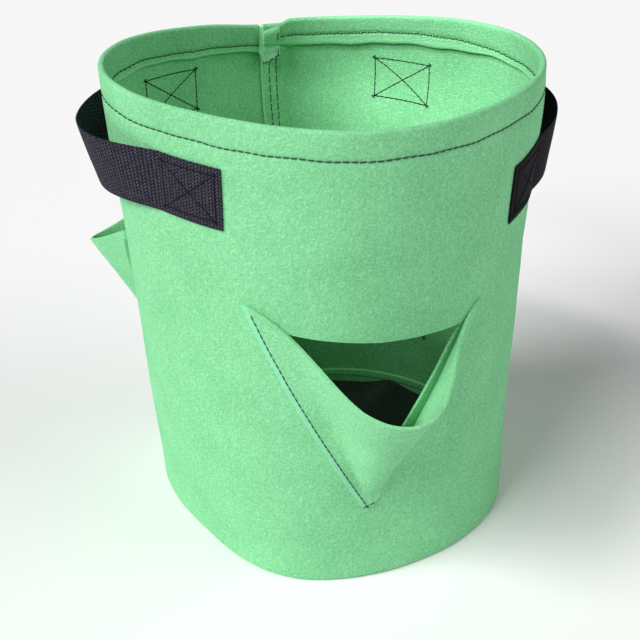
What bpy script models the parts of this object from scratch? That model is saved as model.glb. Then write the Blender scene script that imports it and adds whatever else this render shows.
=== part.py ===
"""Fabric grow bag: a felt planting bag with three flap pockets and two webbing handles.

Metres, +Z up.  The bag stands on z = 0 with its axis on Z and its back seam at +Y.
A place on the wall is given by its arc, the distance along the outer face from the
front (-Y) towards +X, by its height, and by its distance out from that face.
"""
import math

import bmesh
import bpy
from mathutils import Vector

# bag
BAG_DIAMETER = 0.350
BAG_HEIGHT = 0.450
FELT = 0.003
WALL_STEPS = 72
FIT_GAP = 0.0003

# hem at the rim
HEM_DEPTH = 0.030
HEM_ROW_DROP = 0.024

# lapped back seam
LAP_WIDTH = 0.024
LAP_EDGE_FROM_SEAM = 0.015
SEAM_ROW_SPACING = 0.0075

# wall foot, folded in around the base panel
FOOT_FOLD = 0.024
BASE_ROW_HEIGHT = 0.017
BASE_FLANGE = 0.008

# pocket flaps, each centred on an angle from the front
POCKET_DEG = {"front": -5.0, "left": -136.0, "right": 124.0}
POCKET_TOP = 0.283
POCKET_TIP = 0.085
POCKET_HALF_WIDTH = 0.114
POCKET_TIP_HALF_WIDTH = 0.005
POCKET_STANDOFF = 0.064
POCKET_DROOP = 0.062
POCKET_PEAK = 0.11
POCKET_PEAK_SOFTNESS = 0.8
POCKET_TOE = 0.015
FLAT_TIP_SHARE = 0.4
POCKET_MARGIN = 0.009
POCKET_ROW_INSET = 0.0045

# window cut in the wall behind each flap
WINDOW_INSET = 0.012
WINDOW_TOP_DROP = 0.020

# webbing handles
STRAP_WIDTH = 0.054
STRAP_THICKNESS = 0.0018
STRAP_FRONT_DEG = 46.5
STRAP_REAR_DEG = 148.5
STRAP_TOPS = {"left": (0.408, 0.411), "right": (0.385, 0.408)}
LOOP_OUT_TOP = 0.024
LOOP_OUT_BOTTOM = 0.011
SPAN_INSET = 0.011
SPAN_GAP = 0.0010

# box-and-cross stitches at the strap ends
BOX_LENGTH = 0.052
BOX_HEIGHT = 0.041
BOX_END_MARGIN = 0.006

# thread
THREAD_WIDTH = 0.0012
THREAD_HEIGHT = 0.0006
BEND_STEP = 0.009
FLAP_COLUMNS = 22
FLAP_ROWS = 14
STRAP_COLUMNS = 60

BAG_RADIUS = BAG_DIAMETER / 2
INNER_RADIUS = BAG_RADIUS - FELT
HEM_INNER_RADIUS = BAG_RADIUS - 2 * FELT

FELT_GREEN = (0.235, 0.665, 0.330, 1.0)
FLAP_GREEN = (0.275, 0.700, 0.370, 1.0)
BASE_BLACK = (0.012, 0.012, 0.014, 1.0)
WEBBING_BLACK = (0.016, 0.015, 0.019, 1.0)
THREAD_GREEN = (0.012, 0.045, 0.022, 1.0)
THREAD_BLACK = (0.008, 0.008, 0.010, 1.0)

SIDES = {"left": -1, "right": 1}


def clear_scene():
    for old in list(bpy.data.objects):
        bpy.data.objects.remove(old, do_unlink=True)


def make_collection(name):
    collection = bpy.data.collections.new(name)
    bpy.context.scene.collection.children.link(collection)
    return collection


def make_material(name, color, roughness):
    material = bpy.data.materials.new(name)
    material.use_nodes = True
    shader = material.node_tree.nodes["Principled BSDF"]
    shader.inputs["Base Color"].default_value = color
    shader.inputs["Roughness"].default_value = roughness
    shader.inputs["Metallic"].default_value = 0.0
    material.diffuse_color = color
    return material


def arc_of(degrees):
    return math.radians(degrees) * BAG_RADIUS


def on_wall(arc, out, height):
    angle = arc / BAG_RADIUS
    radius = BAG_RADIUS + out
    return Vector((radius * math.sin(angle), -radius * math.cos(angle), height))


def add_mesh_object(name, bm, material, collection):
    bmesh.ops.recalc_face_normals(bm, faces=bm.faces)
    if bm.calc_volume(signed=True) < 0:
        bmesh.ops.reverse_faces(bm, faces=bm.faces)
    mesh = bpy.data.meshes.new(name)
    bm.to_mesh(mesh)
    bm.free()
    mesh.materials.append(material)
    piece = bpy.data.objects.new(name, mesh)
    collection.objects.link(piece)
    return piece


def add_boolean(piece, cutter, operation):
    modifier = piece.modifiers.new(cutter.name, "BOOLEAN")
    modifier.object = cutter
    modifier.operation = operation
    modifier.solver = "EXACT"


def thicken_outward(piece, thickness):
    """Give an open sheet its thickness on the side away from the bag's axis."""
    face = piece.data.polygons[0]
    if face.normal.x * face.center.x + face.normal.y * face.center.y < 0:
        piece.data.flip_normals()
    modifier = piece.modifiers.new("thickness", "SOLIDIFY")
    modifier.thickness = thickness
    modifier.offset = 1.0


def apply_modifiers(piece):
    graph = bpy.context.evaluated_depsgraph_get()
    mesh = bpy.data.meshes.new_from_object(piece.evaluated_get(graph))
    piece.modifiers.clear()
    piece.data = mesh


def bend_to_wall(bm, place):
    """Cut a flat solid across its length in short steps and lay it on the wall."""
    low = min(vert.co.x for vert in bm.verts)
    high = max(vert.co.x for vert in bm.verts)
    steps = max(1, math.ceil((high - low) / BEND_STEP))
    for index in range(1, steps):
        at = low + (high - low) * index / steps
        geometry = bm.verts[:] + bm.edges[:] + bm.faces[:]
        bmesh.ops.bisect_plane(bm, geom=geometry, plane_co=(at, 0, 0), plane_no=(1, 0, 0))
    for vert in bm.verts:
        vert.co = place(vert.co.x, vert.co.y, vert.co.z)


def wall_block(name, arcs, outs, heights, material, collection):
    """A block that follows the wall, between two arcs, two distances out and two heights."""
    bm = bmesh.new()
    bmesh.ops.create_cube(bm, size=1.0)
    for vert in bm.verts:
        vert.co.x = arcs[0] + (vert.co.x + 0.5) * (arcs[1] - arcs[0])
        vert.co.y = outs[0] + (0.5 - vert.co.y) * (outs[1] - outs[0])
        vert.co.z = heights[0] + (vert.co.z + 0.5) * (heights[1] - heights[0])
    bend_to_wall(bm, on_wall)
    return add_mesh_object(name, bm, material, collection)


def outline_mesh(name, loops, thickness):
    """A flat solid from closed outlines; a loop inside another is a hole."""
    curve = bpy.data.curves.new(name, "CURVE")
    curve.dimensions = "2D"
    curve.fill_mode = "BOTH"
    curve.extrude = thickness / 2
    for loop in loops:
        spline = curve.splines.new("POLY")
        spline.points.add(len(loop) - 1)
        for point, (x, y) in zip(spline.points, loop):
            point.co = (x, y, 0.0, 1.0)
        spline.use_cyclic_u = True
    holder = bpy.data.objects.new(name + "_outline", curve)
    bpy.context.scene.collection.objects.link(holder)
    graph = bpy.context.evaluated_depsgraph_get()
    mesh = bpy.data.meshes.new_from_object(holder.evaluated_get(graph))
    bpy.data.objects.remove(holder, do_unlink=True)
    bm = bmesh.new()
    bm.from_mesh(mesh)
    bmesh.ops.remove_doubles(bm, verts=bm.verts, dist=1e-6)
    return bm


def turned(name, profile, closed, material, collection):
    mesh = bpy.data.meshes.new(name)
    edges = [(index, index + 1) for index in range(len(profile) - 1)]
    if closed:
        edges.append((len(profile) - 1, 0))
    mesh.from_pydata([(radius, 0.0, height) for radius, height in profile], edges, [])
    mesh.materials.append(material)
    piece = bpy.data.objects.new(name, mesh)
    collection.objects.link(piece)
    screw = piece.modifiers.new("turn", "SCREW")
    screw.axis = "Z"
    screw.steps = WALL_STEPS
    screw.render_steps = WALL_STEPS
    screw.use_merge_vertices = True
    screw.merge_threshold = 0.00001
    return piece


def pocket_half_width(height):
    share = (height - POCKET_TIP) / (POCKET_TOP - POCKET_TIP)
    return POCKET_TIP_HALF_WIDTH + share * (POCKET_HALF_WIDTH - POCKET_TIP_HALF_WIDTH)


POCKET_SLOPE = (POCKET_HALF_WIDTH - POCKET_TIP_HALF_WIDTH) / (POCKET_TOP - POCKET_TIP)
POCKET_SIDE_STRETCH = math.hypot(1.0, POCKET_SLOPE)


def window_half_width(height):
    return pocket_half_width(height) - (POCKET_MARGIN + WINDOW_INSET) * POCKET_SIDE_STRETCH


def window_cutter(name, degrees, cutters):
    top = POCKET_TOP - WINDOW_TOP_DROP
    inset = (POCKET_MARGIN + WINDOW_INSET) * POCKET_SIDE_STRETCH - POCKET_TIP_HALF_WIDTH
    tip = POCKET_TIP + inset / POCKET_SLOPE
    half = window_half_width(top)
    reach = 3 * FELT
    bm = outline_mesh(name, [[(-half, top), (0.0, tip), (half, top)]], 2 * reach)
    center = arc_of(degrees)
    bend_to_wall(bm, lambda x, y, z: on_wall(center + x, z - reach / 2, y))
    cutter = add_mesh_object(name, bm, bpy.data.materials["felt"], cutters)
    cutter.hide_render = True
    cutter.display_type = "WIRE"
    return cutter


def build_wall(bag, cutters, felt):
    top = BAG_HEIGHT - FELT
    profile = [(BAG_RADIUS, top), (BAG_RADIUS, 0.0), (HEM_INNER_RADIUS, 0.0)]
    profile += [(HEM_INNER_RADIUS, FOOT_FOLD), (INNER_RADIUS, FOOT_FOLD)]
    profile.append((INNER_RADIUS, BAG_HEIGHT - HEM_DEPTH))
    profile.append((HEM_INNER_RADIUS, BAG_HEIGHT - HEM_DEPTH))
    for step in range(6):
        angle = math.radians(180 - 30 * step)
        profile.append((INNER_RADIUS + FELT * math.cos(angle), top + FELT * math.sin(angle)))
    wall = turned("wall_panel", profile, True, felt, bag)

    seam = arc_of(180)
    lap = (seam - (LAP_WIDTH - LAP_EDGE_FROM_SEAM), seam + LAP_EDGE_FROM_SEAM)
    bite = FELT / 4
    ridge = wall_block("seam_lap", lap, (-2 * FELT, bite - FELT),
                       (FOOT_FOLD - bite, BAG_HEIGHT - HEM_DEPTH + bite), felt, cutters)
    bulge = wall_block("seam_hem_bulge", lap, (-3.5 * FELT, bite - 2 * FELT),
                       (BAG_HEIGHT - HEM_DEPTH, top), felt, cutters)
    for added in (ridge, bulge):
        added.hide_render = True
        added.display_type = "WIRE"
        add_boolean(wall, added, "UNION")
    for name, degrees in POCKET_DEG.items():
        add_boolean(wall, window_cutter(name + "_window", degrees, cutters), "DIFFERENCE")
    return wall


def build_base(bag, felt):
    radius = HEM_INNER_RADIUS - FIT_GAP
    profile = [(0.0, FELT), (radius - FELT, FELT), (radius - FELT, BASE_FLANGE),
               (radius, BASE_FLANGE), (radius, 0.0), (0.0, 0.0)]
    return turned("base_panel", profile, False, felt, bag)


def thread_ring(name, radius, height, material, bag):
    half = THREAD_WIDTH / 2
    profile = [(radius + THREAD_HEIGHT, height + half), (radius + THREAD_HEIGHT, height - half),
               (radius, height - half), (radius, height + half)]
    return turned(name, profile, True, material, bag)


def build_ring_threads(bag, thread):
    row = BAG_HEIGHT - HEM_ROW_DROP
    thread_ring("hem_stitch_outer", BAG_RADIUS + FIT_GAP, row, thread, bag)
    start = arc_of(180) + LAP_EDGE_FROM_SEAM + 2 * FIT_GAP
    end = arc_of(540) - (LAP_WIDTH - LAP_EDGE_FROM_SEAM) - 2 * FIT_GAP
    outs = (-2 * FELT - FIT_GAP - THREAD_HEIGHT, -2 * FELT - FIT_GAP)
    heights = (row - THREAD_WIDTH / 2, row + THREAD_WIDTH / 2)
    wall_block("hem_stitch_inner", (start, end), outs, heights, thread, bag)
    thread_ring("base_stitch", HEM_INNER_RADIUS - FIT_GAP - THREAD_HEIGHT, BASE_ROW_HEIGHT, thread, bag)


def build_seam_threads(bag, thread):
    seam = arc_of(180)
    outs = (-2 * FELT - FIT_GAP - THREAD_HEIGHT, -2 * FELT - FIT_GAP)
    heights = (FOOT_FOLD + THREAD_WIDTH, BAG_HEIGHT - HEM_DEPTH - 2 * FIT_GAP)
    for name, shift in (("seam_stitch_left", 1), ("seam_stitch_right", -1)):
        middle = seam + shift * SEAM_ROW_SPACING / 2
        arcs = (middle - THREAD_WIDTH / 2, middle + THREAD_WIDTH / 2)
        wall_block(name, arcs, outs, heights, thread, bag)


def pocket_bow(across):
    """How far the flap bows at a share of its free half-width: 0 at the seams, 1 at the peak."""
    if across < POCKET_PEAK:
        share = (across + 1) / (1 + POCKET_PEAK)
    else:
        share = (1 - across) / (1 - POCKET_PEAK)
    soft = POCKET_PEAK_SOFTNESS
    lean = (math.hypot(1 - share, soft) - soft) / (math.hypot(1, soft) - soft)
    return (1 - lean) ** 3


def build_pocket_flap(side, degrees, bag, felt):
    """A felt triangle, flat along its sewn sides and bowed out towards its open top edge."""
    bm = bmesh.new()
    bmesh.ops.create_grid(bm, x_segments=FLAP_COLUMNS, y_segments=FLAP_ROWS, size=1.0)
    margin = POCKET_MARGIN * POCKET_SIDE_STRETCH
    toe = POCKET_TOE / (POCKET_TOP - POCKET_TIP)
    free_share = 1 - 2 / FLAP_COLUMNS
    center = arc_of(degrees)
    for vert in bm.verts:
        across, row = vert.co.x / free_share, (vert.co.y + 1) / 2
        up = toe + (row * FLAP_ROWS - 1) / (FLAP_ROWS - 1) * (1 - toe) if row > 1e-4 else 0.0
        half = POCKET_TIP_HALF_WIDTH + up * (POCKET_HALF_WIDTH - POCKET_TIP_HALF_WIDTH)
        free = max(half - margin, FLAT_TIP_SHARE * half)
        in_margin = abs(across) > 1 + 1e-4
        x = math.copysign(half, across) if in_margin else across * free
        bow = 0.0 if in_margin else pocket_bow(across)
        rise = max(0.0, (up - toe) / (1 - toe))
        height = POCKET_TIP + up * (POCKET_TOP - POCKET_DROOP * bow - POCKET_TIP)
        vert.co = on_wall(center + x, FIT_GAP + POCKET_STANDOFF * rise * bow, height)
    flap = add_mesh_object(side + "_pocket_flap", bm, felt, bag)
    thicken_outward(flap, FELT)
    return flap


def build_pocket_thread(side, degrees, bag, thread):
    """The V-shaped row that holds the flap's two sides down."""
    row = POCKET_ROW_INSET * POCKET_SIDE_STRETCH
    width = THREAD_WIDTH * POCKET_SIDE_STRETCH
    top = POCKET_TOP - 2 * THREAD_WIDTH
    outer_x = pocket_half_width(top) - row
    outer_foot = POCKET_TIP + (row - POCKET_TIP_HALF_WIDTH) / POCKET_SLOPE
    inner_foot = outer_foot + width / POCKET_SLOPE
    vee = [(outer_x, top), (outer_x - width, top), (0.0, inner_foot),
           (width - outer_x, top), (-outer_x, top), (0.0, outer_foot)]
    bm = outline_mesh(side + "_pocket_stitch", [vee], THREAD_HEIGHT)
    center = arc_of(degrees)
    out = FELT + 2 * FIT_GAP + THREAD_HEIGHT / 2
    bend_to_wall(bm, lambda x, y, z: on_wall(center + x, out + z, y))
    return add_mesh_object(side + "_pocket_stitch", bm, thread, bag)


def strap_top(side, arc):
    front, rear = STRAP_TOPS[side]
    share = (arc - arc_of(STRAP_FRONT_DEG)) / arc_of(STRAP_REAR_DEG - STRAP_FRONT_DEG)
    return front + share * (rear - front)


SEWN_LENGTH = BOX_LENGTH + 2 * BOX_END_MARGIN
ROOT_ARCS = (arc_of(STRAP_FRONT_DEG) + SEWN_LENGTH, arc_of(STRAP_REAR_DEG) - SEWN_LENGTH)


def strap_out(arc, drop):
    """How far the strap's inner face stands off the wall; drop is 0 at its top edge and 1 below."""
    middle = (ROOT_ARCS[0] + ROOT_ARCS[1]) / 2
    half = (ROOT_ARCS[1] - ROOT_ARCS[0]) / 2
    swell = math.cos(min(1.0, abs(arc - middle) / half) * math.pi / 2)
    return FIT_GAP + swell * (LOOP_OUT_TOP + drop * (LOOP_OUT_BOTTOM - LOOP_OUT_TOP))


def strap_solid(name, side, bag, webbing):
    bm = bmesh.new()
    bmesh.ops.create_grid(bm, x_segments=STRAP_COLUMNS, y_segments=2, size=1.0)
    start, end = arc_of(STRAP_FRONT_DEG), arc_of(STRAP_REAR_DEG)
    for vert in bm.verts:
        arc = start + (vert.co.x + 1) / 2 * (end - start)
        drop = (1 - vert.co.y) / 2
        height = strap_top(side, arc) - drop * STRAP_WIDTH
        vert.co = on_wall(SIDES[side] * arc, strap_out(arc, drop), height)
    strap = add_mesh_object(name, bm, webbing, bag)
    thicken_outward(strap, STRAP_THICKNESS)
    apply_modifiers(strap)
    return strap


def cut_strap(strap, point, direction, keep_ahead):
    """Keep the part of a strap that lies ahead of, or behind, a plane."""
    bm = bmesh.new()
    bm.from_mesh(strap.data)
    geometry = bm.verts[:] + bm.edges[:] + bm.faces[:]
    bmesh.ops.bisect_plane(bm, geom=geometry, plane_co=point, plane_no=direction,
                           clear_inner=keep_ahead, clear_outer=not keep_ahead)
    rim = [edge for edge in bm.edges if edge.is_boundary]
    bmesh.ops.holes_fill(bm, edges=rim)
    bmesh.ops.recalc_face_normals(bm, faces=bm.faces)
    bm.to_mesh(strap.data)
    bm.free()


def handle_roots(side):
    """The two ends of the line that a handle turns about, at the strap's top edge."""
    roots = []
    for arc in ROOT_ARCS:
        roots.append(on_wall(SIDES[side] * arc, FIT_GAP + STRAP_THICKNESS / 2, strap_top(side, arc)))
    return roots


def build_handle(side, bag, webbing):
    front_root, rear_root = handle_roots(side)
    along = (rear_root - front_root).normalized()
    front_cut = front_root + along * SPAN_INSET
    rear_cut = rear_root - along * SPAN_INSET

    front = strap_solid(side + "_handle_front_end", side, bag, webbing)
    cut_strap(front, front_cut, along, keep_ahead=False)
    rear = strap_solid(side + "_handle_rear_end", side, bag, webbing)
    cut_strap(rear, rear_cut, along, keep_ahead=True)
    span = strap_solid(side + "_handle_span", side, bag, webbing)
    cut_strap(span, front_cut + along * SPAN_GAP, along, keep_ahead=True)
    cut_strap(span, rear_cut - along * SPAN_GAP, along, keep_ahead=False)


def box_stitch(name, side, arc, out, thread, bag):
    """A rectangle of thread with both diagonals, as one flat solid bent to the wall."""
    x, y, w = BOX_LENGTH / 2, BOX_HEIGHT / 2, THREAD_WIDTH
    diagonal = math.hypot(x, y)
    dx, dy = w / 2 * diagonal / y, w / 2 * diagonal / x
    loops = [[(-x, -y), (x, -y), (x, y), (-x, y)]]
    inner_x, inner_y = x - w, y - w
    for sign in (-1, 1):
        loops.append([(sign * inner_x, -inner_y + dy), (sign * inner_x, inner_y - dy), (sign * dx, 0.0)])
        loops.append([(-inner_x + dx, sign * inner_y), (inner_x - dx, sign * inner_y), (0.0, sign * dy)])
    bm = outline_mesh(name, loops, THREAD_HEIGHT)

    def place(across, up, through):
        at = arc + across
        height = strap_top(side, at) - STRAP_WIDTH / 2 + up
        return on_wall(SIDES[side] * at, out + through, height)

    bend_to_wall(bm, place)
    return add_mesh_object(name, bm, thread, bag)


def build_box_stitches(side, bag, thread):
    offset = BOX_END_MARGIN + BOX_LENGTH / 2
    ends = {"front": arc_of(STRAP_FRONT_DEG) + offset, "rear": arc_of(STRAP_REAR_DEG) - offset}
    outer = 2 * FIT_GAP + STRAP_THICKNESS + THREAD_HEIGHT / 2
    inner = -FELT - FIT_GAP - THREAD_HEIGHT / 2
    for end, arc in ends.items():
        box_stitch(f"{side}_handle_{end}_stitch", side, arc, outer, thread, bag)
        box_stitch(f"{side}_handle_{end}_bobbin", side, arc, inner, thread, bag)


def main():
    clear_scene()
    bag = make_collection("fabric_grow_bag")
    cutters = make_collection("cutters")
    felt = make_material("felt", FELT_GREEN, 0.95)
    flap_felt = make_material("flap_felt", FLAP_GREEN, 0.95)
    base_felt = make_material("base_felt", BASE_BLACK, 0.95)
    webbing = make_material("webbing", WEBBING_BLACK, 0.60)
    green_thread = make_material("green_thread", THREAD_GREEN, 0.60)
    black_thread = make_material("black_thread", THREAD_BLACK, 0.55)

    build_wall(bag, cutters, felt)
    build_base(bag, base_felt)
    build_ring_threads(bag, green_thread)
    build_seam_threads(bag, green_thread)
    for side, degrees in POCKET_DEG.items():
        build_pocket_flap(side, degrees, bag, flap_felt)
        build_pocket_thread(side, degrees, bag, green_thread)
    for side in SIDES:
        build_handle(side, bag, webbing)
        build_box_stitches(side, bag, black_thread)


main()
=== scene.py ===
import math
import bmesh
import bpy
from mathutils import Matrix, Vector


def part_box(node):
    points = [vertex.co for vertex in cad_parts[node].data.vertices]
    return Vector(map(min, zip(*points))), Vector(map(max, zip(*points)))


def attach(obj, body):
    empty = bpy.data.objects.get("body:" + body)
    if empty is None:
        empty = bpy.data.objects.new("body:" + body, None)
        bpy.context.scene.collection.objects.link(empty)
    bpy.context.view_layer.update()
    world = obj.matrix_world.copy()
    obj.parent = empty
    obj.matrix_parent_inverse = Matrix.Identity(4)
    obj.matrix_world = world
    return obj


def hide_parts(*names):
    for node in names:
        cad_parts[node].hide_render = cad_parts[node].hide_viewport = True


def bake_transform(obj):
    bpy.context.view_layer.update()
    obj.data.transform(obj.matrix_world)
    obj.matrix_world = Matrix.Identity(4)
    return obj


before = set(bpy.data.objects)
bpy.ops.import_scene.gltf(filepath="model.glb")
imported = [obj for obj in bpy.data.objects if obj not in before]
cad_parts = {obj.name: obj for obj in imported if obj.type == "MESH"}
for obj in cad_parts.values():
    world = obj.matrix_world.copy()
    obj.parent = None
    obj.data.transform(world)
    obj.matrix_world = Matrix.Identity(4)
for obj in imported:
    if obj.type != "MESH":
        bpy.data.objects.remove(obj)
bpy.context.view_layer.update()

wallLow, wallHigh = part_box("wall_panel")
bagRadius = (wallHigh.x - wallLow.x) / 2
bagHeight = wallHigh.z
seamArc = math.pi * bagRadius  # the back seam, as a distance round the wall from the front

# Every felt and webbing piece but the base is drawn flat first: x round the wall, y up it,
# z out from it. One node tree then rolls them all into the same bag.
# Waves are (count, size, peak angle).
bag = {
    "rimRadius": bagRadius,
    "footRadius": bagRadius * 0.968,
    "rimShift": (-0.0044, -0.0015),
    "rimWaves": ((2, 0.0100, 68), (3, 0.0040, 14), (4, 0.0080, 82)),
    "footWaves": ((2, 0.0062, 71), (3, 0.0044, 96), (4, 0.0040, 55)),
    "rimDips": ((1, 0.0049, 344), (2, 0.0044, 78), (3, 0.0045, 115)),
    "bulges": (  # angle, height, size, width in degrees, tallness
        (152, 0.385, 0.013, 34, 0.055), (82, 0.425, 0.0050, 26, 0.060),
        (-62, 0.0, -0.0085, 17, 0.060), (24, 0.0, 0.0060, 22, 0.060)),
    "dentDepth": 0.0016,
    "dentSize": 0.120,
    "crumpleDepth": 0.0008,
    "crumpleSize": 0.035,
}


def smooth(low, high, value):
    share = min(1.0, max(0.0, (value - low) / (high - low)))
    return share * share * (3 - 2 * share)


def blendOf(first, second, share):
    return first + (second - first) * share


def newTree(name, kind, inputs, outputs):
    tree = bpy.data.node_groups.new(name, kind)
    for label, socket, value in inputs:
        item = tree.interface.new_socket(label, in_out="INPUT", socket_type="NodeSocket" + socket)
        if value is not None:
            item.default_value = value
    for label, socket in outputs:
        tree.interface.new_socket(label, in_out="OUTPUT", socket_type="NodeSocket" + socket)
    given = tree.nodes.new("NodeGroupInput").outputs
    result = tree.nodes.new("NodeGroupOutput").inputs
    return tree, given, result


def addNode(tree, kind, settings=None, **links):
    # a link's name is the socket's name without spaces, or its place as n0, n1 ...
    node = tree.nodes.new(kind)
    for key, value in (settings or {}).items():
        setattr(node, key, value)
    for key, value in links.items():
        if key[0] == "n" and key[1:].isdigit():
            socket = node.inputs[int(key[1:])]
        else:
            socket = next(s for s in node.inputs if s.name.replace(" ", "") == key)
        if isinstance(value, bpy.types.NodeSocket):
            tree.links.new(value, socket)
        else:
            socket.default_value = value
    return node


def calc(tree, operation, *values):
    links = {f"n{index}": value for index, value in enumerate(values)}
    return addNode(tree, "ShaderNodeMath", {"operation": operation}, **links).outputs[0]


def vector(tree, x, y, z):
    return addNode(tree, "ShaderNodeCombineXYZ", None, X=x, Y=y, Z=z).outputs[0]


def noise(tree, place, scale, detail, rough=0.5):
    return addNode(tree, "ShaderNodeTexNoise", None, Vector=place, Scale=scale, Detail=detail,
                   Roughness=rough).outputs[0]


def mixColors(tree, share, first, second):
    return addNode(tree, "ShaderNodeMix", {"data_type": "RGBA"}, n0=share, n6=first,
                   n7=second).outputs[2]


def makeWrapTree():
    # rolls the flat pieces into the bag
    tree, given, result = newTree("wrapToBag", "GeometryNodeTree", [
        ("Geometry", "Geometry", None), ("Rim Radius", "Float", bag["rimRadius"]),
        ("Foot Radius", "Float", bag["footRadius"]), ("Bag Height", "Float", bagHeight),
        ("Wave Amount", "Float", 1.0), ("Dent Depth", "Float", bag["dentDepth"]),
        ("Dent Size", "Float", bag["dentSize"]), ("Crumple Depth", "Float", bag["crumpleDepth"]),
        ("Crumple Size", "Float", bag["crumpleSize"]), ("Material", "Material", None),
    ], [("Geometry", "Geometry")])
    place = addNode(tree, "GeometryNodeInputPosition").outputs[0]
    flat = addNode(tree, "ShaderNodeSeparateXYZ", None, n0=place).outputs
    turn = calc(tree, "DIVIDE", flat[0], given["Rim Radius"])
    up = calc(tree, "DIVIDE", flat[1], given["Bag Height"])
    down = calc(tree, "SUBTRACT", 1.0, up)
    swell, slide, dip = 0.0, 0.0, 0.0
    for waves, weight in ((bag["rimWaves"], up), (bag["footWaves"], down)):
        for count, size, peak in waves:
            phase = calc(tree, "MULTIPLY", calc(tree, "SUBTRACT", turn, math.radians(peak)), count)
            amount = calc(tree, "MULTIPLY", weight, size)
            amount = calc(tree, "MULTIPLY", amount, given["Wave Amount"])
            side = calc(tree, "DIVIDE", amount, count * bagRadius)
            swell = calc(tree, "MULTIPLY_ADD", calc(tree, "COSINE", phase), amount, swell)
            slide = calc(tree, "MULTIPLY_ADD", calc(tree, "SINE", phase), side, slide)
    for count, size, peak in bag["rimDips"]:
        phase = calc(tree, "MULTIPLY", calc(tree, "SUBTRACT", turn, math.radians(peak)), count)
        dip = calc(tree, "MULTIPLY_ADD", calc(tree, "COSINE", phase), size, dip)
    for angle, height, size, width, tallness in bag["bulges"]:
        away = calc(tree, "COSINE", calc(tree, "SUBTRACT", turn, math.radians(angle)))
        away = calc(tree, "DIVIDE", calc(tree, "SUBTRACT", away, 1.0), math.radians(width) ** 2)
        above = calc(tree, "DIVIDE", calc(tree, "SUBTRACT", flat[1], height), tallness)
        above = calc(tree, "MULTIPLY", above, above)
        fade = calc(tree, "EXPONENT", calc(tree, "SUBTRACT", away, above))
        swell = calc(tree, "MULTIPLY_ADD", fade, size, swell)
    sideways = calc(tree, "MULTIPLY", calc(tree, "SINE", turn), given["Rim Radius"])
    forwards = calc(tree, "MULTIPLY", calc(tree, "COSINE", turn), given["Rim Radius"])
    onWall = vector(tree, sideways, forwards, flat[1])
    for depth, size in (("Dent Depth", "Dent Size"), ("Crumple Depth", "Crumple Size")):
        scale = calc(tree, "DIVIDE", 1.0, given[size])
        dents = noise(tree, onWall, scale, 1.0)
        centred = calc(tree, "MULTIPLY", calc(tree, "SUBTRACT", dents, 0.5), 2.0)
        swell = calc(tree, "MULTIPLY_ADD", centred, given[depth], swell)
    taper = calc(tree, "SUBTRACT", given["Rim Radius"], given["Foot Radius"])
    radius = calc(tree, "MULTIPLY_ADD", taper, up, given["Foot Radius"])
    radius = calc(tree, "ADD", calc(tree, "ADD", radius, swell), flat[2])
    angle = calc(tree, "SUBTRACT", turn, slide)
    shiftX, shiftY = (calc(tree, "MULTIPLY", up, value) for value in bag["rimShift"])
    x = calc(tree, "MULTIPLY_ADD", calc(tree, "SINE", angle), radius, shiftX)
    y = calc(tree, "SUBTRACT", shiftY, calc(tree, "MULTIPLY", calc(tree, "COSINE", angle), radius))
    z = calc(tree, "MULTIPLY_ADD", calc(tree, "MULTIPLY", up, up), dip, flat[1])
    moved = addNode(tree, "GeometryNodeSetPosition", None,
                    Geometry=given["Geometry"], Position=vector(tree, x, y, z))
    real = addNode(tree, "GeometryNodeRealizeInstances", None, Geometry=moved.outputs[0])
    painted = addNode(tree, "GeometryNodeSetMaterial", None,
                      Geometry=real.outputs[0], Material=given["Material"])
    tree.links.new(painted.outputs[0], result["Geometry"])
    return tree


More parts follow.
